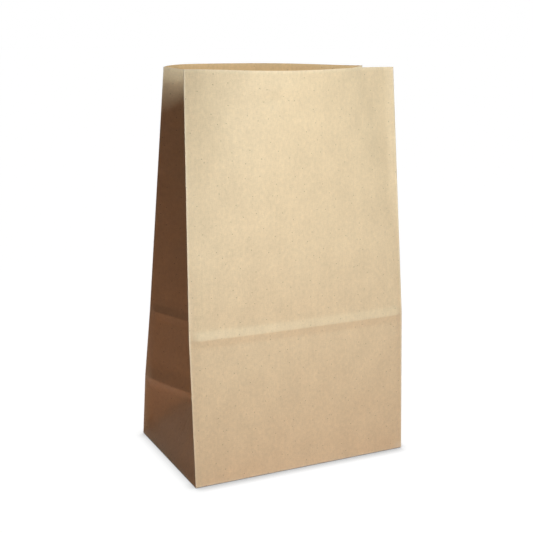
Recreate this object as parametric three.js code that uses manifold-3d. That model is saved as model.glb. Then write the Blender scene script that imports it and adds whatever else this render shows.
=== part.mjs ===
// Brown paper lunch bag, folded and glued from one sheet of kraft paper, standing open.
// It is a block-bottom sack: a front and a back panel, a gusset on each side that is still
// folded part of the way in, and a rectangular bottom closed by two flaps glued over each other.
// Millimetres, +Z up. The origin is the middle of the bottom, on the surface it stands on.
// +X runs along the front panel from left to right, +Y from the front panel to the back.

import * as THREE from 'three';
import Module from 'manifold-3d';
import { mergeVertices } from 'three/addons/utils/BufferGeometryUtils.js';

const wasm = await Module();
wasm.setup();

// Sizes of the folded sheet
const width = 152.4; // front and back panels, from fold to fold
const depth = 96; // block bottom from front to back, and the paper in each gusset
const height = 257; // paper in every panel, from the bottom fold to the rim
const paper = 0.3; // one ply
const seamLap = 13; // glued overlap of the lengthwise seam on the back panel
const seamOffset = 22; // middle of that overlap, right of the back panel's middle seen from behind
const flapLap = 20; // overlap of the two bottom flaps
const flapEdge = 38; // free edge of each bottom flap, which narrows to it at about 45 degrees

// Creases left by the flat fold, when the bottom lay folded up against the back panel
const creaseRise = 0.8; // how far a pressed crease stands out of its panel
const creaseBand = 6; // how far above and below its line it spreads
const creaseFade = 14; // how far from an upright fold it reaches its full height
const backDent = 1.2; // how far the back panel's folded crease stays pushed in

// Stance of the opened bag, as shares of the gusset that the folds have moved inwards
const frontCreaseFold = 0.02; // both front folds at the height of the pressed crease
const frontRimLeft = 0.111; // front left fold at the rim
const frontRimRight = 0.132; // front right fold at the rim
const backHalfFold = 0.109; // both back folds at the horizontal fold of the back panel
const backCreaseFold = 0.171; // both back folds at the height of the pressed crease
const backRimLeft = 0.309; // back left fold at the rim
const backRimRight = 0.353; // back right fold at the rim

// Bow of the panels at the rim, and their sideways drift
const frontBow = 21; // front rim, forward of the line between its folds
const backBow = 19.7; // back rim, behind the line between its folds
const frontSkew = 0.45; // how far the fullest part of the front bow sits to the left
const backSkew = 0.95; // the same for the back
const frontCreaseDrift = -3.6; // middle of the front panel to the right, at the pressed crease
const frontRimDrift = -7.5; // middle of the front rim to the right
const backHalfDrift = -1.8; // middle of the back panel to the right, at its horizontal fold
const backRimDrift = 0.8; // middle of the back rim to the right

// How finely the surfaces are divided
const panelColumns = 14; // across the front or the back panel
const gussetColumns = 5; // across half a gusset, and up to its horizontal fold
const middleRows = 2; // from there to the pressed crease
const upperRows = 7; // from the pressed crease to the rim
const seamStep = 0.3; // run of the step at each edge of the seam

const half = depth / 2; // half a gusset, and the height of its horizontal fold
const lift = 2 * paper; // the two flaps lie under the folded-in ends

const mix = (a, b, t) => a.clone().lerp(b, t);

// Plan of a panel between its two folds: a straight line that bows out by a skewed parabola.
// The line is shorter than the panel by what the bow takes up, so the paper does not stretch.
function planCurve({ middle = 0, left, right, bow = 0, skew = 0 }) {
  const taken = (8 * bow * bow * (1 / 3 + (skew * skew) / 5)) / width;
  const chord = width - taken;
  return (u) => {
    const x = middle + (u - 0.5) * chord;
    const out = 4 * bow * u * (1 - u) * (1 + skew * (1 - 2 * u));
    return new THREE.Vector2(x, left + (right - left) * u + out);
  };
}

// A panel that runs straight between plan curves at given paper heights.
// Each step up rises by what the paper leaves over after its sideways move.
function ruledPanel(stations) {
  return (u, v) => {
    let low = stations[0];
    let point = new THREE.Vector3(low.plan(u).x, low.plan(u).y, 0);
    for (const high of stations.slice(1)) {
      const run = high.at - low.at;
      const to = high.plan(u);
      const rise = Math.sqrt(run * run - to.distanceToSquared(low.plan(u)));
      const end = new THREE.Vector3(to.x, to.y, point.z + rise);
      if (v <= high.at) return mix(point, end, (v - low.at) / run);
      low = high;
      point = end;
    }
    return point;
  };
}

const frontEdge = -half;
const backEdge = half;

const frontPanel = ruledPanel([
  { at: 0, plan: planCurve({ left: frontEdge, right: frontEdge }) },
  {
    at: depth,
    plan: planCurve({
      middle: frontCreaseDrift,
      left: frontEdge + frontCreaseFold * depth,
      right: frontEdge + frontCreaseFold * depth,
    }),
  },
  {
    at: height,
    plan: planCurve({
      middle: frontRimDrift,
      left: frontEdge + frontRimLeft * depth,
      right: frontEdge + frontRimRight * depth,
      bow: -frontBow,
      skew: frontSkew,
    }),
  },
]);

const backPanel = ruledPanel([
  { at: 0, plan: planCurve({ left: backEdge, right: backEdge }) },
  {
    at: half,
    plan: planCurve({
      middle: backHalfDrift,
      left: backEdge - backHalfFold * depth,
      right: backEdge - backHalfFold * depth,
    }),
  },
  {
    at: depth,
    plan: planCurve({
      left: backEdge - backCreaseFold * depth,
      right: backEdge - backCreaseFold * depth,
    }),
  },
  {
    at: height,
    plan: planCurve({
      middle: backRimDrift,
      left: backEdge - backRimLeft * depth,
      right: backEdge - backRimRight * depth,
      bow: backBow,
      skew: backSkew,
    }),
  },
]);

// The centre fold of a gusset is half a gusset away from both of its corner folds,
// and a known run of paper above a point below it: a circle met by a sphere.
function centreFold(front, back, below, run, inward) {
  const middle = mix(front, back, 0.5);
  const across = back.clone().sub(front).normalize();
  const reach = Math.sqrt(half * half - front.distanceToSquared(back) / 4);
  const up = new THREE.Vector3(0, 0, 1).projectOnPlane(across).normalize();
  const inside = inward.clone().projectOnPlane(across).projectOnPlane(up).normalize();
  const from = middle.clone().sub(below);
  const span = Math.hypot(from.dot(inside), from.dot(up));
  const lean = Math.atan2(from.dot(inside), from.dot(up));
  const excess = from.lengthSq() + reach * reach - run * run;
  const drop = lean + Math.asin(excess / (2 * reach * span));
  return middle
    .addScaledVector(inside, reach * Math.cos(drop))
    .addScaledVector(up, -reach * Math.sin(drop));
}

// A gusset as two halves. s runs from the corner fold to the centre fold, v up the paper.
// Below the horizontal fold a flat triangle rises from the bottom edge to the centre fold,
// and its slanted sides meet the rest of the gusset in folds at 45 degrees.
function gusset(side) {
  const u = side < 0 ? 0 : 1;
  const inward = new THREE.Vector3(-side, 0, 0);
  const foot = new THREE.Vector3((side * width) / 2, 0, 0);
  const foldAt = (v, below, run) => {
    return centreFold(frontPanel(u, v), backPanel(u, v), below, run, inward);
  };
  const apex = foldAt(half, foot, half);
  const bend = foldAt(depth, apex, depth - half);
  const top = foldAt(height, bend, height - depth);
  const centre = (v) => {
    if (v <= depth) return mix(apex, bend, (v - half) / (depth - half));
    return mix(bend, top, (v - depth) / (height - depth));
  };
  return (panel, s, v) => {
    const corner = panel(u, 0);
    if (v >= half) return mix(panel(u, v), centre(v), s / half);
    if (s >= v) return mix(corner, foot, s / half).addScaledVector(apex.clone().sub(foot), v / half);
    return corner
      .clone()
      .addScaledVector(panel(u, half).sub(corner), (v - s) / half)
      .addScaledVector(apex.clone().sub(corner), s / half);
  };
}

const leftGusset = gusset(-1);
const rightGusset = gusset(1);

// Columns around the bag, counterclockwise from the front left fold seen from above.
// Each gives its point at a paper height, its distance from an upright fold, its plies,
// and how far its half-height crease stays pushed in.
function evenly(count, from, to) {
  return Array.from({ length: count }, (_, i) => from + ((to - from) * i) / count);
}

function frontColumns() {
  return evenly(panelColumns, 0, 1).map((u) => ({
    at: (v) => frontPanel(u, v),
    edge: Math.min(u, 1 - u) * width,
    plies: 1,
  }));
}

function backColumns() {
  const seamFrom = width / 2 - seamOffset - seamLap / 2;
  const seamTo = seamFrom + seamLap;
  const edges = [seamFrom - seamStep, seamFrom, seamTo, seamTo + seamStep];
  const crowded = width / panelColumns / 3;
  const clear = (s) => edges.every((edge) => Math.abs(s - edge) > crowded);
  const places = [...evenly(panelColumns, 0, width).filter(clear), ...edges];
  return places
    .sort((a, b) => a - b)
    .map((s) => ({
      at: (v) => backPanel(1 - s / width, v),
      edge: Math.min(s, width - s),
      plies: s >= seamFrom && s <= seamTo ? 2 : 1,
      dent: backDent,
    }));
}

function gussetColumnsOf(place, first, second) {
  const rising = evenly(gussetColumns, 0, half).map((s) => ({
    at: (v) => place(first, s, v),
    edge: Math.min(s, half - s),
    plies: 1,
  }));
  const falling = evenly(gussetColumns, half, 0).map((s) => ({
    at: (v) => place(second, s, v),
    edge: Math.min(s, half - s),
    plies: 1,
    leansBack: true,
  }));
  return [...rising, ...falling];
}

const columns = [
  ...frontColumns(),
  ...gussetColumnsOf(rightGusset, frontPanel, backPanel),
  ...backColumns(),
  ...gussetColumnsOf(leftGusset, backPanel, frontPanel),
];

const rows = [
  ...evenly(gussetColumns, 0, half),
  ...evenly(middleRows, half, depth - creaseBand),
  depth - creaseBand,
  depth,
  ...evenly(upperRows, depth + creaseBand, height),
  height,
];

// The skin is the outside of a single ply: rings of points, and one point under the bottom
function skinPoints() {
  const points = rows.flatMap((v) => columns.map((column) => column.at(v)));
  points.push(new THREE.Vector3());
  return points.map((point) => point.setZ(point.z + lift));
}

function skinFaces() {
  const count = columns.length;
  const faces = [];
  for (let row = 0; row < rows.length - 1; row += 1) {
    columns.forEach((column, i) => {
      const a = row * count + i;
      const b = row * count + ((i + 1) % count);
      const c = b + count;
      const d = a + count;
      if (column.leansBack) faces.push([a, b, d], [b, c, d]);
      else faces.push([a, b, c], [a, c, d]);
    });
  }
  const hub = rows.length * count;
  columns.forEach((_, i) => faces.push([(i + 1) % count, i, hub]));
  return faces;
}

// Vector at each point that leads one unit inwards from every face around it.
// It solves the faces' plane equations together, with a little damping where they are parallel.
function inwardVectors(points, faces) {
  const damping = 0.003;
  const sums = points.map(() => ({ m: new Array(9).fill(0), n: new THREE.Vector3() }));
  const triangle = new THREE.Triangle();
  const normal = new THREE.Vector3();
  for (const face of faces) {
    triangle.set(...face.map((i) => points[i])).getNormal(normal);
    const axes = normal.toArray();
    for (const i of face) {
      sums[i].n.sub(normal);
      axes.forEach((a, row) => axes.forEach((b, column) => (sums[i].m[3 * row + column] += a * b)));
    }
  }
  return sums.map(({ m, n }) => {
    const spread = damping * (m[0] + m[4] + m[8]);
    const matrix = new THREE.Matrix3().set(...m);
    for (const diagonal of [0, 4, 8]) matrix.elements[diagonal] += spread;
    return n.applyMatrix3(matrix.invert());
  });
}

// The pressed crease runs right round at the bottom's depth and stands out of the paper.
// The fold across the back panel, half as high, stays pushed in. Both fade out at the folds.
function pressCreases(points, faces) {
  const inward = inwardVectors(points, faces);
  const press = (at, amount) => {
    const first = rows.indexOf(at) * columns.length;
    columns.forEach((column, i) => {
      const share = Math.min(1, column.edge / creaseFade);
      points[first + i].addScaledVector(inward[first + i], share * amount(column));
    });
  };
  press(depth, () => -creaseRise);
  press(half, ({ dent = 0 }) => dent);
}

function closedGeometry(points, faces) {
  const geometry = new THREE.BufferGeometry();
  const places = points.flatMap((point) => point.toArray());
  geometry.setAttribute('position', new THREE.Float32BufferAttribute(places, 3));
  geometry.setIndex(faces.flat());
  return geometry;
}

// The paper: the skin, a copy set in by one ply, and the cut edge at the rim between them
function sheet() {
  const skin = skinPoints();
  const faces = skinFaces();
  pressCreases(skin, faces);
  const inward = inwardVectors(skin, faces);
  const count = columns.length;
  const inner = skin.map((point, i) => point.clone().addScaledVector(inward[i], paper));
  const outer = skin.map((point, i) => {
    const plies = i < rows.length * count ? columns[i % count].plies : 1;
    return point.clone().addScaledVector(inward[i], -paper * (plies - 1));
  });
  const shift = skin.length;
  const turned = faces.map(([a, b, c]) => [a + shift, c + shift, b + shift]);
  const top = (rows.length - 1) * count;
  const cutEdge = columns.flatMap((_, i) => {
    const a = top + i;
    const b = top + ((i + 1) % count);
    return [[a, b, b + shift], [a, b + shift, a + shift]];
  });
  return closedGeometry([...outer, ...inner], [...faces, ...turned, ...cutEdge]);
}

// A bottom flap: a trapezoid from a long bottom edge to its free edge past the middle.
// toBack is 1 for the front panel's flap and -1 for the back panel's.
function bottomFlap(toBack, from) {
  const inset = paper / 2;
  const edge = -toBack * (half - inset);
  const free = (toBack * flapLap) / 2;
  const outline = new THREE.Shape([
    new THREE.Vector2(-width / 2 + inset, edge),
    new THREE.Vector2(width / 2 - inset, edge),
    new THREE.Vector2(flapEdge / 2, free),
    new THREE.Vector2(-flapEdge / 2, free),
  ]);
  const thickness = lift + paper / 2 - from;
  const flap = new THREE.ExtrudeGeometry(outline, { depth: thickness, bevelEnabled: false });
  return flap.translate(0, 0, from);
}

function toManifold(geometry) {
  const plain = geometry.clone();
  plain.deleteAttribute('normal');
  plain.deleteAttribute('uv');
  const merged = mergeVertices(plain);
  return new wasm.Manifold(
    new wasm.Mesh({
      numProp: 3,
      vertProperties: new Float32Array(merged.attributes.position.array),
      triVerts: new Uint32Array(merged.index.array),
    }),
  );
}

function toGeometry(manifold) {
  const mesh = manifold.getMesh();
  const geometry = new THREE.BufferGeometry();
  geometry.setAttribute('position', new THREE.BufferAttribute(mesh.vertProperties, 3));
  geometry.setIndex(new THREE.BufferAttribute(mesh.triVerts, 1));
  geometry.computeVertexNormals();
  return geometry;
}

function bagGeometry() {
  const outerFlap = toManifold(bottomFlap(1, 0));
  const innerFlap = toManifold(bottomFlap(-1, paper));
  return toGeometry(toManifold(sheet()).add(innerFlap).add(outerFlap));
}

const kraft = new THREE.MeshStandardMaterial({ color: 0xd2b48c, roughness: 0.85, metalness: 0 });
const bag = new THREE.Mesh(bagGeometry(), kraft);
bag.name = 'paper_bag';

const lunchBag = new THREE.Group();
lunchBag.add(bag);

export default lunchBag;
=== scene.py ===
# %% [markdown]
# A brown paper lunch bag, standing open. The real one is a single sheet of kraft paper: it is
# wrapped into a tube and glued along the back, creased into a gusset on each side, and closed at
# the bottom by flaps that are glued over each other. It leaves the machine folded flat, so it
# keeps a pressed line all round, as high as its bottom is deep.
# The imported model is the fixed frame. Everything here is dressed around it, in metres.

# %% Load the frame
import bpy
import math
import numpy as np
from mathutils import Matrix, Vector


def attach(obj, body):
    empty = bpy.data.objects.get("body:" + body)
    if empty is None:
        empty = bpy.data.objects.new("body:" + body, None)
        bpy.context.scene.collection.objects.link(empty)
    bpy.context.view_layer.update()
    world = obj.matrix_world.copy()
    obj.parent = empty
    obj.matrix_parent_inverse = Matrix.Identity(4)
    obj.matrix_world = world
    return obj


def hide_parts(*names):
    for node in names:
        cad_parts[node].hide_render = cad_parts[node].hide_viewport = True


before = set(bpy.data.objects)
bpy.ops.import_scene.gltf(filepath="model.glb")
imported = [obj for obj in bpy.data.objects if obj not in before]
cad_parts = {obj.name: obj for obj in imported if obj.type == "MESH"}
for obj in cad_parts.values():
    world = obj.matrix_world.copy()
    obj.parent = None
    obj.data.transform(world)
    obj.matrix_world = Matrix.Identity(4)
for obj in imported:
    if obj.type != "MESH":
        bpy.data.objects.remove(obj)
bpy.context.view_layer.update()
scene = bpy.context.scene

# %% [markdown]
# The camera stands to the left of the bag, a little above its rim, and looks down at it.
# Its place, angles and lens come from matching the corners, rims, folds and creases of the bag.
# A camera could also be aimed by eye, but a match settles the bag's proportions as well.

# %% Camera
PHOTO_PIXELS = 533  # the photograph is square
FOCAL_PIXELS = 1045.2  # focal length, in pixels of that photograph
SENSOR_MM = 36
NEAREST_SEEN = 0.01  # clip distance, in metres
CAMERA_PLACE = Vector((-0.3064, -0.6026, 0.2934))
YAW, PITCH, ROLL = (math.radians(angle) for angle in (26.54, 14.05, 0.92))


def camera_axes(yaw, pitch, roll):
    """Right, up and backward of a camera that turns right by yaw, tips down by pitch and rolls."""
    forward = Vector((
        math.sin(yaw) * math.cos(pitch), math.cos(yaw) * math.cos(pitch), -math.sin(pitch)))
    level = Vector((math.cos(yaw), -math.sin(yaw), 0))
    upright = level.cross(forward)
    right = level * math.cos(roll) + upright * math.sin(roll)
    up = upright * math.cos(roll) - level * math.sin(roll)
    return right, up, -forward


camera = bpy.data.objects.new("camera", bpy.data.cameras.new("camera"))
camera.data.sensor_width = SENSOR_MM
camera.data.lens = SENSOR_MM * FOCAL_PIXELS / PHOTO_PIXELS
camera.data.clip_start = NEAREST_SEEN
turn = Matrix(camera_axes(YAW, PITCH, ROLL)).transposed().to_4x4()
camera.matrix_world = Matrix.Translation(CAMERA_PLACE) @ turn
scene.collection.objects.link(camera)
scene.camera = camera
print("lens, mm:", round(camera.data.lens, 1))

# %% [markdown]
# The bag's sizes are those of the folded sheet, in millimetres. The stance says how far each
# upright fold has moved in from the edge of the bottom, at a few heights up the paper.

# %% Sizes and stance, in millimetres
WIDTH = 152.4  # front and back panels
DEPTH = 96  # block bottom from front to back, and the paper in each gusset
HEIGHT = 257  # paper from the bottom fold to the rim
HALF = DEPTH / 2  # half a gusset, and the height of the fold across its back half
GIRTH = 2 * (WIDTH + DEPTH)
SEAM_LAP = 13  # glued overlap on the back
SEAM_OFFSET = 22  # its middle, right of the back's middle seen from behind
FLAP_LAP = 20  # overlap of the two bottom flaps
FLAP_EDGE = 38  # free edge of a bottom flap
PLY = 0.16  # one ply of paper, a little thicker than real so that its cut edge shows
LIFT = 0.3  # the bottom flaps lie under the walls

FRONT = [
    (0, dict(left=-HALF, right=-HALF)),
    (DEPTH, dict(left=-HALF + 1.9, right=-HALF + 1.9, middle=-3.6)),
    (HEIGHT, dict(left=-HALF + 10.7, right=-HALF + 12.7, middle=-7.5, bow=-21, skew=0.45)),
]
BACK = [
    (0, dict(left=HALF, right=HALF)),
    (HALF, dict(left=HALF - 10.5, right=HALF - 10.5, middle=-1.8)),
    (DEPTH, dict(left=HALF - 16.4, right=HALF - 16.4)),
    (HEIGHT, dict(left=HALF - 29.7, right=HALF - 33.9, middle=0.8, bow=19.7, skew=0.95)),
]
print("paper round the bag, without the seam's lap, mm:", GIRTH)

# %% [markdown]
# Paper bends but does not stretch. A panel runs straight between plan curves at a few heights,
# and each step up rises only by what the paper leaves over after its sideways move. The bow of
# the rim shortens the straight line between its folds by what the curve takes up.

# %% The front and back panels
def plan_curve(u, left, right, middle=0.0, bow=0.0, skew=0.0):
    """A straight line from left to right plus the skewed parabola 4*bow*u*(1-u)*(1+skew*(1-2u)).
    The line is shorter than the panel by what the bow takes up: its width times half its mean
    square slope."""
    taken = 8 * bow**2 * (1 / 3 + skew**2 / 5) / WIDTH
    x = middle + (u - 0.5) * (WIDTH - taken)
    y = left + (right - left) * u + 4 * bow * u * (1 - u) * (1 + skew * (1 - 2 * u))
    return np.stack([x, y], -1)


def blend(a, b, t):
    """The point a share t of the way from a to b."""
    return a + (b - a) * np.asarray(t)[..., None]


def panel_point(stations, u, v):
    """Straight lines between the plan curves; the height gained is sqrt(run^2 - sideways^2)."""
    u, v = np.broadcast_arrays(np.asarray(u, float), np.asarray(v, float))
    low_v, low = stations[0]
    at_low = np.concatenate([plan_curve(u, **low), np.zeros(u.shape + (1,))], -1)
    out = at_low
    for high_v, high in stations[1:]:
        run = high_v - low_v
        plan = plan_curve(u, **high)
        sideways = ((plan - at_low[..., :2]) ** 2).sum(-1)
        rise = at_low[..., 2] + np.sqrt(run**2 - sideways)
        at_high = np.concatenate([plan, rise[..., None]], -1)
        out = np.where((v > low_v)[..., None], blend(at_low, at_high, (v - low_v) / run), out)
        low_v, at_low = high_v, at_high
    return out


print("front rim middle, mm:", panel_point(FRONT, 0.5, HEIGHT).round(1))

# %% [markdown]
# A gusset is a strip as wide as the bottom is deep, folded in at its middle. That centre fold is
# half a gusset away from both corner folds, and a known run of paper above a point below it. At
# the bottom, a flat triangle rises from the edge, and its slanted sides are folds at 45 degrees.

# %% The gussets
def centre_fold(front, back, below, run, inward):
    """Where a circle round the line front-back meets a sphere of radius run round below."""
    across = (back - front) / np.linalg.norm(back - front)
    reach = math.sqrt(HALF**2 - ((back - front) ** 2).sum() / 4)
    up = np.array([0, 0, 1.0]) - across * across[2]
    up /= np.linalg.norm(up)
    inside = inward - across * (inward @ across)
    inside -= up * (inside @ up)
    inside /= np.linalg.norm(inside)
    middle = (front + back) / 2
    leg = middle - below
    span, lean = math.hypot(leg @ inside, leg @ up), math.atan2(leg @ inside, leg @ up)
    drop = lean + math.asin((leg @ leg + reach**2 - run**2) / (2 * reach * span))
    return middle + inside * reach * math.cos(drop) - up * reach * math.sin(drop)


def gusset_folds(side):
    """The foot, apex, bend and top of the centre fold on the left (-1) or right (1) side."""
    u = 0.0 if side < 0 else 1.0
    inward = np.array([-side, 0, 0.0])
    foot = np.array([side * WIDTH / 2, 0, 0.0])
    points, last_v = [foot], 0
    for v in (HALF, DEPTH, HEIGHT):
        ends = panel_point(FRONT, u, v), panel_point(BACK, u, v)
        points.append(centre_fold(*ends, points[-1], v - last_v, inward))
        last_v = v
    return points


def gusset_point(side, stations, r, v):
    """r runs from a corner fold to the centre fold, v up the paper. Below the apex it is two flat
    parts that meet where r equals v."""
    u = 0.0 if side < 0 else 1.0
    foot, apex, bend, top = gusset_folds(side)
    centre = np.where((v > DEPTH)[..., None], blend(bend, top, (v - DEPTH) / (HEIGHT - DEPTH)),
                      blend(apex, bend, (v - HALF) / HALF))
    above = blend(panel_point(stations, u, np.maximum(v, HALF)), centre, r / HALF)
    corner = panel_point(stations, u, 0)
    shoulder = panel_point(stations, u, HALF)
    triangle = blend(corner, foot, r / HALF) + (apex - foot) * (v / HALF)[..., None]
    flank = corner + (shoulder - corner) * ((v - r) / HALF)[..., None]
    flank = flank + (apex - corner) * (r / HALF)[..., None]
    below = np.where((r >= v)[..., None], triangle, flank)
    return np.where((v >= HALF)[..., None], above, below)


print("left centre fold, mm:", [point.round(0).tolist() for point in gusset_folds(-1)])

# %% [markdown]
# The whole sheet is one grid. s runs round the bag from the front left fold, counterclockwise
# seen from above, and v runs up the paper. Rows below the bottom fold turn in under the bag.

# %% A point of the sheet
PANEL_STARTS = np.array([
    0, WIDTH, WIDTH + HALF, WIDTH + DEPTH, 2 * WIDTH + DEPTH, GIRTH - HALF, GIRTH])
FRONT_PANEL, RIGHT_FRONT, RIGHT_BACK, BACK_PANEL, LEFT_BACK, LEFT_FRONT = range(6)


def panel_of(s):
    """Which of the six panels a point falls on."""
    return np.searchsorted(PANEL_STARTS, np.mod(s, GIRTH), side="right") - 1


def wall_point(s, v):
    """The panel that s falls on gives the point: front, right gusset, back or left gusset."""
    s, v = np.broadcast_arrays(np.mod(s, GIRTH), v)
    panel = panel_of(s)
    along = s - PANEL_STARTS[panel]
    out = np.empty(s.shape + (3,))
    for number, point in enumerate((
        lambda r, v: panel_point(FRONT, r / WIDTH, v),
        lambda r, v: gusset_point(1, FRONT, r, v),
        lambda r, v: gusset_point(1, BACK, HALF - r, v),
        lambda r, v: panel_point(BACK, 1 - r / WIDTH, v),
        lambda r, v: gusset_point(-1, BACK, r, v),
        lambda r, v: gusset_point(-1, FRONT, HALF - r, v),
    )):
        here = panel == number
        out[here] = point(along[here], v[here])
    return out


def sheet_point(s, v):
    """Above the bottom fold it is the wall. Below it, the ring at the bottom shrinks evenly."""
    s, v = np.broadcast_arrays(s, v)
    out = wall_point(s, np.maximum(v, 0.0))
    under = np.minimum(v, 0.0)
    out[..., 0] *= 1 + under / (WIDTH / 2)
    out[..., 1] *= 1 + under / HALF
    return out


print("left front fold at the rim, mm:", sheet_point(np.array([0.0]), HEIGHT).round(1))

# %% [markdown]
# Grid lines crowd together at the folds, so that smooth shading turns over within a third of a
# millimetre there, as a machine-made crease does. In the lower half of a gusset the rows repeat
# the columns, so that grid points fall on the slanted folds.

# %% Grid lines
STEP = 2.3  # plain spacing
NEAR = np.array([0, 0.25, 0.7, 1.5, 2.8])  # distances from a fold
SEAM_START = WIDTH + DEPTH + WIDTH / 2 - SEAM_OFFSET - SEAM_LAP / 2
SEAM_STEP = 0.5  # the outer ply rises over this run
SEAM_CLEAR = 0.6  # other columns stay this far from the seam's own
TUCK, TUCK_STEP = 47.5, 4  # how far the bottom ring turns in, and its plain spacing
TUCK_NEAR = [-3, -1.2, -0.35]  # its rows next to the bottom fold
CREASE_LINES = np.array([0.25, 0.7, 1.4, 2.4, 3.4, 4.2, 4.8, 5.6, 6.8])


def crowded(start, end):
    """Distances near both ends and even steps between them."""
    low, high = start + NEAR, end - NEAR
    count = max(1, round((high[-1] - low[-1]) / STEP))
    plain_steps = np.linspace(low[-1], high[-1], count + 1)
    return np.unique(np.concatenate([low, high, plain_steps]).round(6))


def between(start, end, step):
    """Even steps from start up to, but not including, end."""
    return np.linspace(start, end, max(1, round((end - start) / step)), endpoint=False)


stretches = [crowded(a, b) for a, b in zip(PANEL_STARTS[:-1], PANEL_STARTS[1:])]
around = np.unique(np.concatenate(stretches).round(6))[:-1]
seam_end = SEAM_START + GIRTH + SEAM_LAP
around = np.concatenate([around, around + GIRTH, [GIRTH * 2]])
lap_lines = SEAM_START + GIRTH + np.array([-SEAM_STEP, 0])
inside_sheet = (around > SEAM_START + SEAM_CLEAR) & (around < seam_end - SEAM_CLEAR)
clear_of_lap = np.abs(around - lap_lines.mean()) > SEAM_CLEAR
columns = np.concatenate([[SEAM_START], around[inside_sheet & clear_of_lap], lap_lines, [seam_end]])
columns = np.unique(columns.round(6))

band = DEPTH + np.concatenate([-CREASE_LINES[::-1], [0], CREASE_LINES])
rows = np.unique(np.concatenate([
    between(-TUCK, TUCK_NEAR[0], TUCK_STEP), TUCK_NEAR,
    crowded(0, HALF),
    between(HALF + NEAR[-1], band[0], STEP), HALF + NEAR,
    band,
    between(band[-1], HEIGHT, STEP), [HEIGHT],
]).round(6))
print("grid:", len(columns), "columns,", len(rows), "rows")

# %% [markdown]
# Relief is added along the paper's outward normal: pressed lines, soft waves of handling, and
# the second ply at the seam. It fades out at the folds, where the paper is stiff.
# The bottom was once folded up flat against the back. That fold runs round the back and the back
# halves of the gussets, half a bottom up, and its upper edge pressed a line into the other panels.

# %% Where the relief lies, in millimetres
CORNER_FOLDS = np.array([0, WIDTH, WIDTH + DEPTH, 2 * WIDTH + DEPTH])
PRESSED_RISE = {
    FRONT_PANEL: 1.7, RIGHT_FRONT: 0.5, RIGHT_BACK: 1.6, LEFT_BACK: 1.6, LEFT_FRONT: 0.5}
FOLDED_RISE = {RIGHT_BACK: 1.8, BACK_PANEL: -0.9, LEFT_BACK: 1.8}
PRESSED_SPREAD, FOLDED_SPREAD = 4.8, 8.0  # how far a ridge spreads up and down
PRESSED_KEEP = 0.45  # the folded bottom lay behind the paper below the pressed line
RIDGE_ROUND, FOOT_ROUND = 0.5, 0.15  # rounding of its top, and of its foot as a share of spread
FOLD_FADE = 6  # distance from a fold at which relief is full
HOLLOW, HOLLOW_REACH = 3.0, 9  # a flank's depth, and where it is deepest above a slanted fold
HOLLOW_BELOW, HOLLOW_BESIDE = 8, 4  # it is full this far from the fold above and the corner fold
BULGE, BULGE_ABOVE = 2.0, 80  # how far the front stands out at the pressed line, and fades above
BULGE_FLATNESS = 0.4  # below 1 it is flat in the middle and falls at the sides
DENTS = [  # s, v, spread along s, spread along v, height
    (50, 240, 11, 3.0, -0.3),
    (58, 246, 13, 4.0, 0.3),
    (11, 19, 2.2, 0.9, 0.22),
    (7, 21, 3.0, 2.0, -0.2),
    (24, 38, 9, 16, -0.35),
    (60, 24, 5, 30, -0.25),
    (122, 30, 14, 10, -0.3),
]
BUCKLE_TOP, BUCKLE_WIDTH = 100, 26  # where it leaves the front's rim, and its width
BUCKLE_STEP, BUCKLE_LENGTH = 2.6, 150  # how far the paper right of it lies back, and its run down
BUCKLE_CURVE = 0.8  # below 1 its line is steeper lower down
BUCKLE_END, BUCKLE_FADE = 1.15, 0.5  # shares of its length: where it is gone, and over what run
WAVES = ((15, 0.06), (10, 0.10), (6, 0.16), (4, 0.2))  # how many round the bag, and their height
WAVE_SLANTS, WAVE_TALL = (0.25, -0.4), 3.1  # lean, and length up the sheet over length round it
WAVE_START = 12  # they are full from this height up
WAVE_SEED = 7


# %% Distances to folds
def smooth(t):
    """0 below 0, 1 above 1, and 3t^2 - 2t^3 between."""
    t = np.clip(t, 0, 1)
    return t * t * (3 - 2 * t)


def corner_distance(s):
    """Distance round the bag to the nearest of the four corner folds."""
    gaps = np.abs(np.mod(s[..., None] - CORNER_FOLDS + GIRTH / 2, GIRTH) - GIRTH / 2)
    return gaps.min(-1)


def fold_distance(s, v):
    """Distance to the nearest upright fold, or to a slanted fold in the foot of a gusset."""
    r = corner_distance(s)
    inner = np.where(v >= HALF, HALF - r, np.abs(r - v) / math.sqrt(2))
    return np.where(np.isin(panel_of(s), (FRONT_PANEL, BACK_PANEL)), r, np.minimum(r, inner))


print("gusset middle to a fold, mm:", fold_distance(np.array([WIDTH + HALF / 2]), HEIGHT))


# %% Pressed lines and buckle
def ridge(s, v, line, rises, spread, keep):
    """A tent rise*(1 - |v - line|/spread), rounded at its top and its foot. Below the line a share
    of the rise is kept, and dies out straight down to the bottom fold."""
    off = v - line
    rise = np.select([panel_of(s) == number for number in rises], list(rises.values()), 0.0)
    left = 1 - (np.sqrt(off**2 + RIDGE_ROUND**2) - RIDGE_ROUND) / spread
    tent = (left + np.sqrt(left**2 + FOOT_ROUND**2)) / 2
    below = keep * np.clip(v / line, 0, 1) + (1 - keep) * tent
    return rise * np.where(off > 0, tent, below)


def buckle(s, v):
    """A soft step back across a slanted band, from the rim to the right end of the front."""
    down = (HEIGHT - v) / BUCKLE_LENGTH
    line = BUCKLE_TOP + (WIDTH - BUCKLE_TOP) * np.clip(down, 0, 1) ** BUCKLE_CURVE
    step = smooth((np.mod(s, GIRTH) - line) / BUCKLE_WIDTH)
    fading = smooth((BUCKLE_END - down) / BUCKLE_FADE)
    return -BUCKLE_STEP * step * fading * (panel_of(s) == FRONT_PANEL)


front_middle = np.array([WIDTH / 2])
pressed_height = ridge(
    front_middle, DEPTH, DEPTH, PRESSED_RISE, PRESSED_SPREAD, PRESSED_KEEP)
print("pressed line in the middle of the front, mm:", pressed_height.round(2))


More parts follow.
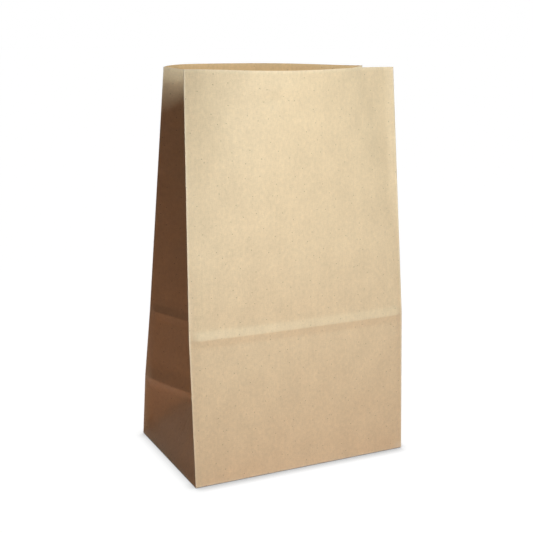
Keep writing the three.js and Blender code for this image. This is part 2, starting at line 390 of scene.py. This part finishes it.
# %% Waves, bulge, hollows and dents
def handling(s, v):
    """Long, low waves: cosines with seeded phases. Each has a whole number of waves round the
    bag, so that both plies of the seam have the same waves."""
    rng = np.random.default_rng(WAVE_SEED)
    out = np.zeros(np.broadcast(s, v).shape)
    for count, height in WAVES:
        length = GIRTH / count
        for slant in WAVE_SLANTS:
            phase = rng.uniform(0, 2 * math.pi, 2)
            out = out + height * np.cos(2 * math.pi * (s + slant * v) / length + phase[0]) * np.cos(
                2 * math.pi * v / (WAVE_TALL * length) + phase[1])
    return out


def bulge(s, v):
    """The front stands out most at the pressed line: (4u(1-u))^flatness across, straight below
    the line, and easing above it."""
    u = np.clip(np.mod(s, GIRTH) / WIDTH, 0, 1)
    profile = np.where(v < DEPTH, v / DEPTH, 1 - smooth((v - DEPTH) / BULGE_ABOVE))
    across = (4 * u * (1 - u)) ** BULGE_FLATNESS
    return BULGE * across * np.maximum(profile, 0) * (panel_of(s) == FRONT_PANEL)


def hollow(s, v):
    """Above the slanted folds of a gusset's back half: -(d/reach)*exp(1 - d/reach)."""
    r = corner_distance(s)
    d = np.maximum(v - r, 0) / math.sqrt(2) / HOLLOW_REACH
    here = np.isin(panel_of(s), (RIGHT_BACK, LEFT_BACK)) * smooth((HALF - v) / HOLLOW_BELOW)
    return -HOLLOW * here * smooth(r / HOLLOW_BESIDE) * d * np.exp(1 - d)


def dents(s, v):
    """Gaussian bumps and hollows, each with its own place, spreads and height."""
    out = np.zeros(np.broadcast(s, v).shape)
    for at_s, at_v, spread_s, spread_v, height in DENTS:
        across = np.mod(s - at_s + GIRTH / 2, GIRTH) - GIRTH / 2
        out = out + height * np.exp(-(across / spread_s) ** 2 - ((v - at_v) / spread_v) ** 2)
    return out


print("bulge at the same place, mm:", bulge(front_middle, DEPTH).round(2))


# %% Relief added to the sheet
def relief(s, v):
    """Height of the paper above its plain surface, in millimetres."""
    fade = smooth(fold_distance(s, v) / FOLD_FADE)
    pressed = ridge(s, v, DEPTH, PRESSED_RISE, PRESSED_SPREAD, PRESSED_KEEP)
    pressed = pressed + ridge(s, v, HALF, FOLDED_RISE, FOLDED_SPREAD, 0)
    pressed = pressed + buckle(s, v) + bulge(s, v) + dents(s, v)
    lap = smooth((s - lap_lines[0]) / SEAM_STEP) * PLY
    free = fade * (pressed + smooth(v / WAVE_START) * handling(s, v))
    return free + hollow(s, v) + np.where(v > 0, lap, 0)


def normals(points):
    """Cross product of the grid's own differences along s and along v, at unit length."""
    along_s = np.gradient(points, axis=0)
    along_v = np.gradient(points, axis=1)
    cross = np.cross(along_s, along_v)
    return cross / np.linalg.norm(cross, axis=-1, keepdims=True)


s_grid, v_grid = np.meshgrid(columns, rows, indexing="ij")
plain = sheet_point(s_grid, v_grid)
sheet = plain + normals(plain) * relief(s_grid, v_grid)[..., None]
sheet[..., 2] += LIFT
corners = sheet.reshape(-1, 3)
print("paper spans, mm:", corners.min(0).round(1), corners.max(0).round(1))

# %% [markdown]
# The mesh is made from whole arrays. Cells are split along the diagonal that follows the slanted
# fold: one way on the half of a gusset where it rises, the other way where it falls.

# %% Put a grid into a mesh
MM = 0.001  # one millimetre, in metres


def grid_faces(count_s, count_v, falling):
    """Two triangles per cell, counterclockwise seen from outside. falling marks the columns of
    cells whose diagonal runs down to the right."""
    a = (np.arange(count_s - 1)[:, None] * count_v + np.arange(count_v - 1)).astype(np.int32)
    b, c, d = a + count_v, a + count_v + 1, a + 1
    turned = np.broadcast_to(falling[:, None], a.shape)
    first = np.where(turned[..., None], np.stack([a, b, d], -1), np.stack([a, b, c], -1))
    second = np.where(turned[..., None], np.stack([b, c, d], -1), np.stack([a, c, d], -1))
    return np.concatenate([first.reshape(-1, 3), second.reshape(-1, 3)])


def mesh_piece(name, points, faces, uv, marks):
    """An object at the origin, from points in millimetres, with its own UV map and attributes."""
    mesh = bpy.data.meshes.new(name)
    mesh.from_pydata((points.reshape(-1, 3) * MM).tolist(), [], faces.tolist())
    layer = mesh.uv_layers.new(name="sheet")
    corners = np.empty(len(mesh.loops), np.int32)
    mesh.loops.foreach_get("vertex_index", corners)
    layer.data.foreach_set("uv", (uv.reshape(-1, 2)[corners] * MM).astype(np.float32).ravel())
    for mark, values in marks.items():
        attribute = mesh.attributes.new(mark, "FLOAT", "POINT")
        attribute.data.foreach_set("value", values.astype(np.float32).ravel())
    mesh.shade_smooth()
    edges = np.empty(len(mesh.loops), np.int32)
    mesh.loops.foreach_get("edge_index", edges)
    cut = np.bincount(edges, minlength=len(mesh.edges)) == 1
    mesh.attributes.new("sharp_edge", "BOOLEAN", "EDGE").data.foreach_set("value", cut)
    piece = bpy.data.objects.new(name, mesh)
    scene.collection.objects.link(piece)
    return piece


def give_thickness(piece, ply):
    """Solidify inwards from the outer face by one ply. The inner face takes the second material."""
    wall = piece.modifiers.new("ply", "SOLIDIFY")
    wall.thickness = ply * MM
    wall.offset = -1
    wall.material_offset = 1


print("one cell is the triangles", grid_faces(2, 2, np.array([False])).tolist())

# %% The sheet, with its rubbed places and painted highlights
FOLD_WEAR_AND_HIGHLIGHT, RIM_HIGHLIGHT_WIDTH, CREASE_WEAR = 0.7, 0.4, 0.35  # widths of the pale lines, in millimetres: rubbed folds with a painted highlight, a painted highlight along the rim, the pressed line
RIM_HIGHLIGHT, CREASE_PALE = 0.5, 0.2  # their paleness, where a fold's wear and painted highlight has 1
SCUFF_PALE, SCUFF_IN, SCUFF_UP = 0.8, 3, 2  # a scuff at the front's lower right corner
SCUFF_WIDE, SCUFF_HIGH = 2.2, 2
CLEAR_OF_WEAR_AND_HIGHLIGHT = 9  # a distance with no wear and no painted highlight

falling = np.isin(panel_of((columns[1:] + columns[:-1]) / 2), (RIGHT_BACK, LEFT_FRONT))
faces = grid_faces(len(columns), len(rows), falling)
# Folds are pale as rubbed paper and as a painted highlight of their rounded edge catching the
# light. The rim's pale line is a painted highlight of its cut edge.
from_corner = np.where(v_grid > 0, corner_distance(s_grid), CLEAR_OF_WEAR_AND_HIGHLIGHT)
wear_and_highlight = np.exp(-(np.minimum(from_corner, np.abs(v_grid)) / FOLD_WEAR_AND_HIGHLIGHT) ** 2)
wear_and_highlight += RIM_HIGHLIGHT * np.exp(-((HEIGHT - v_grid) / RIM_HIGHLIGHT_WIDTH) ** 2)
wear_and_highlight += CREASE_PALE * np.exp(-((v_grid - DEPTH) / CREASE_WEAR) ** 2)
scuff_s = (s_grid - GIRTH - WIDTH + SCUFF_IN) / SCUFF_WIDE
wear_and_highlight += SCUFF_PALE * np.exp(-scuff_s ** 2 - ((v_grid - SCUFF_UP) / SCUFF_HIGH) ** 2)
walls = mesh_piece("paper_sheet", sheet, faces, np.stack([s_grid, v_grid], -1), {"wear_and_highlight": wear_and_highlight})
give_thickness(walls, PLY)
print("sheet:", len(walls.data.polygons), "triangles before thickness")

# %% [markdown]
# The two bottom flaps are trapezoids from the long edges of the bottom to free edges that pass
# each other, the front one outside. They are glued flat, so a plain grid does.

# %% Bottom flaps
FLAP_COLUMNS, FLAP_ROWS = 41, 21  # grid points
FLAP_INSET = 0.4  # the flaps stay this far inside the bottom's edge
FLAP_PLY = 0.1
FLAP_WEAR, FLAP_PALE = 0.6, 0.8  # width and paleness of their rubbed edges
INNER_FLAP_UP = 0.12  # height of the inner flap's outer face
FLAP_UV_SHIFT = 300  # so that the two flaps have different paper


def flap(name, to_back, height):
    """Rows of a trapezoid that narrows evenly from the full width to the free edge."""
    across, depthwise = np.meshgrid(
        np.linspace(-1, 1, FLAP_COLUMNS), np.linspace(0, 1, FLAP_ROWS), indexing="ij")
    half_width = (WIDTH / 2 - FLAP_INSET) * (1 - depthwise) + FLAP_EDGE / 2 * depthwise
    deep = HALF - FLAP_INSET
    x = across * half_width
    y = -to_back * deep + to_back * (deep + FLAP_LAP / 2) * depthwise
    points = np.stack([x, y, np.full_like(x, height)], -1)
    faces = grid_faces(FLAP_COLUMNS, FLAP_ROWS, np.zeros(FLAP_COLUMNS - 1, bool))
    if to_back > 0:
        faces = faces[:, ::-1]
    edge = np.minimum(np.abs(1 - depthwise) * HALF, (1 - np.abs(across)) * half_width)
    uv = np.stack([x if to_back > 0 else x + FLAP_UV_SHIFT, y], -1)
    rubbed_and_highlight = FLAP_PALE * np.exp(-(edge / FLAP_WEAR) ** 2)
    piece = mesh_piece(name, points, faces, uv, {"wear_and_highlight": rubbed_and_highlight})
    give_thickness(piece, FLAP_PLY)
    return piece


outer_flap = flap("outer_bottom_flap", 1, 0.0)
inner_flap = flap("inner_bottom_flap", -1, INNER_FLAP_UP)
print("flaps:", [len(piece.data.polygons) for piece in (outer_flap, inner_flap)], "triangles")

# %% [markdown]
# Brown kraft paper: unbleached softwood fibre, pressed smooth on one side against a hot polished
# cylinder. The eye gets a warm tan with a cloudy formation, fine streaks along the run of the
# machine, short darker fibres, a few bark specks, and a soft broad shine. Folds and the rim are
# paler, partly as rubbed paper and partly as a painted highlight where their edges catch light.
# A photograph could carry all that, but nodes hold it at any distance.

# %% Colours and node helper
def linear(code):
    """sRGB hex to linear RGB with alpha."""
    values = np.array([int(code[i:i + 2], 16) for i in (1, 3, 5)]) / 255
    low, high = values / 12.92, ((values + 0.055) / 1.055) ** 2.4
    return (*np.where(values <= 0.04045, low, high).tolist(), 1.0)


def add_node(tree, kind, settings=None, links=None):
    """A node of a kind. Settings are input values or properties, links come into its inputs."""
    node = tree.nodes.new(kind)
    settings = settings or {}
    for name in [key for key in settings if hasattr(node, key)]:
        setattr(node, name, settings[name])
    sockets = {socket.identifier: socket for socket in node.inputs}
    for name in [key for key in settings if not hasattr(node, key)]:
        sockets[name].default_value = settings[name]
    for name, source in (links or {}).items():
        tree.links.new(source, sockets[name])
    return node


def new_material(name):
    """A material with an empty node tree."""
    material = bpy.data.materials.new(name)
    material.use_nodes = True
    material.node_tree.nodes.clear()
    return material, material.node_tree


GLAZED, GLAZED_WEAR_AND_HIGHLIGHT = "#d7c1a0", "#e4d3b8"  # plain, and for rubbed paper and painted highlights
INNER, INNER_WEAR_AND_HIGHLIGHT = "#cfa97c", "#dabb92"
print("glazed tan, linear:", [round(channel, 3) for channel in linear(GLAZED)])

# %% [markdown]
# Each kind of grain is a noise, stretched to its real size on the flat sheet and turned into a
# factor close to 1. The factors multiply, as layers of uneven paper do. The outer side is the
# glazed one, and the inner side is rougher and warmer.

# %% Kraft paper
CLOUD_MM, MOTTLE_MM = 13, 2.2  # thicker and thinner places, and flocks of fibre
CLOUD_TALL, MOTTLE_TALL = 1.5, 1.3  # their length up the sheet over their width
STREAK_MM, STREAK_RUN_MM = 0.8, 45  # streaks up the sheet
# A softwood fibre is about 3 mm long and 0.03 mm wide, too fine to show, so fibres are drawn
# about ten times as wide as real ones. One set runs up the sheet and one across it.
FIBRE_MM, FIBRE_RUN_MM = 0.35, 2.6
FIBRE_TURN, CROSS_TURN = 0.35, 0.3  # turns of their noise before it is stretched, in radians
CLOUD, MOTTLE, STREAK, FIBRE, CROSS = 0.045, 0.05, 0.02, 0.05, 0.045  # swing of each, round 1
NOISE_LOW, NOISE_HIGH = 0.3, 0.7  # the part of a noise's range that is used
BARK = (11, 0.034, 0.58)  # spacing in millimetres, radius as a share of it, tone
FLECK = (4.07, 0.05, 0.8)
SOFT_EDGE = 0.6  # a speck is full tone inside this share of its radius
GRAIN_ROUGHNESS = 0.6  # how strong the finer octaves of each noise are
SHINE, ROUGH_SWING = 0.35, 0.06
GLAZED_ROUGHNESS, INNER_ROUGHNESS = 0.58, 0.8
BUMP_STRENGTH, BUMP_HEIGHT = 0.35, 0.6 * MM


def kraft_paper(name, paper, rubbed_and_highlight, roughness):
    """Clouds, streaks, fibres and specks multiplied into one tan, with a fine bump."""
    material, tree = new_material(name)
    uv = add_node(tree, "ShaderNodeUVMap", {"uv_map": "sheet"}).outputs["UV"]

    def grain(across_mm, along_mm, detail, turn=0.0):
        """Noise whose lumps are this wide and this long on the flat sheet."""
        place = add_node(tree, "ShaderNodeMapping", {
            "Rotation": (0, 0, turn), "Scale": (1 / across_mm / MM, 1 / along_mm / MM, 1)},
            {"Vector": uv})
        return add_node(tree, "ShaderNodeTexNoise", {
            "Scale": 1.0, "Detail": detail, "Roughness": GRAIN_ROUGHNESS},
            {"Vector": place.outputs[0]}).outputs["Fac"]

    def swing(source, amount, middle=1.0):
        """The used part of a grain's range, spread from middle - amount to middle + amount."""
        return add_node(tree, "ShaderNodeMapRange", {
            "From Min": NOISE_LOW, "From Max": NOISE_HIGH,
            "To Min": middle - amount, "To Max": middle + amount},
            {"Value": source}).outputs["Result"]

    def product(*factors):
        """All the factors multiplied, one after another."""
        out = factors[0]
        for factor in factors[1:]:
            out = add_node(tree, "ShaderNodeMath", {"operation": "MULTIPLY"},
                           {"Value": out, "Value_001": factor}).outputs[0]
        return out

    def specks(spacing_mm, radius, tone):
        """Round dots of one tone, with one at a random place in each cell of a square grid."""
        place = add_node(tree, "ShaderNodeMapping", {
            "Scale": (1 / spacing_mm / MM, 1 / spacing_mm / MM, 1)}, {"Vector": uv})
        cells = add_node(tree, "ShaderNodeTexVoronoi", {"voronoi_dimensions": "2D", "Scale": 1.0},
                         {"Vector": place.outputs[0]})
        return add_node(tree, "ShaderNodeMapRange", {
            "From Min": radius * SOFT_EDGE, "From Max": radius, "To Min": tone, "To Max": 1.0},
            {"Value": cells.outputs["Distance"]}).outputs["Result"]

    cloud = swing(grain(CLOUD_MM, CLOUD_MM * CLOUD_TALL, 3), CLOUD)
    mottle = swing(grain(MOTTLE_MM, MOTTLE_MM * MOTTLE_TALL, 3), MOTTLE)
    streak = swing(grain(STREAK_MM, STREAK_RUN_MM, 2), STREAK)
    fibre = swing(grain(FIBRE_MM, FIBRE_RUN_MM, 2, FIBRE_TURN), FIBRE)
    cross = swing(grain(FIBRE_RUN_MM, FIBRE_MM, 2, CROSS_TURN), CROSS)
    value = product(cloud, mottle, streak, fibre, cross, specks(*BARK), specks(*FLECK))

    # Rubbed folds, and the painted highlights along folds and rim, take the pale tan.
    wear_and_highlight = add_node(tree, "ShaderNodeAttribute", {"attribute_name": "wear_and_highlight"}).outputs["Fac"]
    tan = add_node(tree, "ShaderNodeMix", {
        "data_type": "RGBA", "A_Color": linear(paper), "B_Color": linear(rubbed_and_highlight)},
        {"Factor_Float": wear_and_highlight}).outputs[2]
    shade = add_node(tree, "ShaderNodeVectorMath", {"operation": "SCALE"},
                     {"Vector": tan, "Scale": value}).outputs["Vector"]
    height = product(fibre, cross, streak)
    bump = add_node(tree, "ShaderNodeBump", {
        "Strength": BUMP_STRENGTH, "Distance": BUMP_HEIGHT}, {"Height": height})
    rough = swing(grain(CLOUD_MM, CLOUD_MM, 2), ROUGH_SWING, roughness)
    surface = add_node(tree, "ShaderNodeBsdfPrincipled", {"Specular IOR Level": SHINE}, {
        "Base Color": shade, "Roughness": rough, "Normal": bump.outputs["Normal"]})
    add_node(tree, "ShaderNodeOutputMaterial", {}, {"Surface": surface.outputs[0]})
    return material


glazed = kraft_paper("machine_glazed_kraft_paper", GLAZED, GLAZED_WEAR_AND_HIGHLIGHT, GLAZED_ROUGHNESS)
rough_side = kraft_paper("rough_inner_side_of_kraft_paper", INNER, INNER_WEAR_AND_HIGHLIGHT, INNER_ROUGHNESS)
for piece in (walls, outer_flap, inner_flap):
    piece.data.materials.append(glazed)
    piece.data.materials.append(rough_side)
    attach(piece, "root")
    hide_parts("paper_bag")
print("kraft nodes:", len(glazed.node_tree.nodes))

# %% [markdown]
# The bag stands on a white sweep. The camera sees it as plain white, with a painted contact shadow
# where an ambient occlusion node darkens its glow next to the bag, while the paper sees a dimmer,
# warm surround, as in a small studio with little bounce.

# %% Floor and world
CONTACT_MM = 9  # how far the painted contact shadow reaches
FLOOR_SIZE, FLOOR_DROP = 12, 0.2 * MM  # its side, and how far it lies under the bag, in metres
BLACK, WHITE = "#000000", "#ffffff"
FLOOR_SHARE = 0.08  # part of the white that follows the lamps
FLOOR_BOUNCE = "#e8a27c"  # what the paper sees of it
SURROUND, SURROUND_STRENGTH = "#e0b48c", 0.03


def seen_directly(tree):
    """1 for rays from the camera, and for rays that a mirror or glass would send on."""
    path = add_node(tree, "ShaderNodeLightPath")
    out = path.outputs["Is Camera Ray"]
    for name in ("Is Glossy Ray", "Is Transmission Ray"):
        out = add_node(tree, "ShaderNodeMath", {"operation": "MAXIMUM"},
                       {"Value": out, "Value_001": path.outputs[name]}).outputs[0]
    return out


def white_floor():
    """A large plane that stays white to the camera, apart from a painted contact shadow next to the
    bag, and gives the paper a weak warm bounce.
    """
    material, tree = new_material("matt_white_sweep")
    # The ambient occlusion darkens the camera's white next to the bag: a painted contact shadow.
    openness = add_node(tree, "ShaderNodeAmbientOcclusion", {"Distance": CONTACT_MM * MM})
    tone = add_node(tree, "ShaderNodeMix", {
        "data_type": "RGBA", "A_Color": linear(BLACK), "B_Color": linear(WHITE)},
        {"Factor_Float": openness.outputs["AO"]}).outputs[2]
    white_glow_with_painted_shadow = add_node(tree, "ShaderNodeEmission", {"Strength": 1.0}, {"Color": tone})
    lit = add_node(tree, "ShaderNodeBsdfDiffuse", {"Color": (FLOOR_SHARE,) * 3 + (1,)})
    both = add_node(tree, "ShaderNodeAddShader", {}, {
        "Shader": white_glow_with_painted_shadow.outputs[0], "Shader_001": lit.outputs[0]})
    bounce = add_node(tree, "ShaderNodeBsdfDiffuse", {"Color": linear(FLOOR_BOUNCE)})
    surface = add_node(tree, "ShaderNodeMixShader", {}, {
        "Fac": seen_directly(tree), "Shader": bounce.outputs[0], "Shader_001": both.outputs[0]})
    add_node(tree, "ShaderNodeOutputMaterial", {}, {"Surface": surface.outputs[0]})
    bpy.ops.mesh.primitive_plane_add(size=FLOOR_SIZE, location=(0, 0, -FLOOR_DROP))
    floor = bpy.context.object
    floor.name = "floor"
    floor.data.materials.append(material)
    return floor


def surround():
    """White where it is seen, dim and warm where it lights."""
    world = bpy.data.worlds.new("surround")
    scene.world = world
    world.use_nodes = True
    tree = world.node_tree
    tree.nodes.clear()
    white = add_node(tree, "ShaderNodeBackground", {"Color": linear(WHITE), "Strength": 1.0})
    warm = add_node(tree, "ShaderNodeBackground", {
        "Color": linear(SURROUND), "Strength": SURROUND_STRENGTH})
    surface = add_node(tree, "ShaderNodeMixShader", {}, {
        "Fac": seen_directly(tree), "Shader": warm.outputs[0], "Shader_001": white.outputs[0]})
    add_node(tree, "ShaderNodeOutputWorld", {}, {"Surface": surface.outputs[0]})


white_floor()
surround()
print("materials:", [material.name for material in bpy.data.materials])

# %% [markdown]
# One softbox hangs straight before the bag and above it, so that the front panel is bright and
# the folded-in left side falls in the panel's shade. It is near enough that the light falls off
# down the panel. A weak one with a grid lies lower and lifts the top of the panel, and another
# behind the bag keeps its back from going black.

# %% Lamps
def softbox(name, azimuth, elevation, distance, size, watts, colour, aim, spread=180):
    """A square area lamp at an azimuth right of the front's normal, facing the aim. A spread
    below 180 degrees is a grid before it, which narrows its beam."""
    light = bpy.data.lights.new(name, "AREA")
    light.shape = "SQUARE"
    light.size = size
    light.energy = watts
    light.spread = math.radians(spread)
    light.color = linear(colour)[:3]
    lamp = bpy.data.objects.new(name, light)
    a, e = math.radians(azimuth), math.radians(elevation)
    back = Vector((math.sin(a) * math.cos(e), -math.cos(a) * math.cos(e), math.sin(e)))
    lamp.location = Vector(aim) + back * distance
    lamp.rotation_mode = "QUATERNION"
    lamp.rotation_quaternion = (-back).to_track_quat("-Z", "Y")
    scene.collection.objects.link(lamp)
    print(name, "at", [round(c, 2) for c in lamp.location])


softbox("key_high", 0, 29, 0.62, 0.2, 2.55, "#f4fcfa", (0, 0, 0.15))
softbox("key_low", -3, 15, 0.8, 0.1, 0.22, "#e4f8ff", (-0.035, -0.045, 0.18), spread=50)
softbox("back_fill", 172, 20, 1.0, 0.3, 0.4, "#fff8f0", (0, 0.03, 0.15), spread=44)

# %% [markdown]
# The plain view transform shows the paper's own tones.

scene.view_settings.view_transform = "Standard"
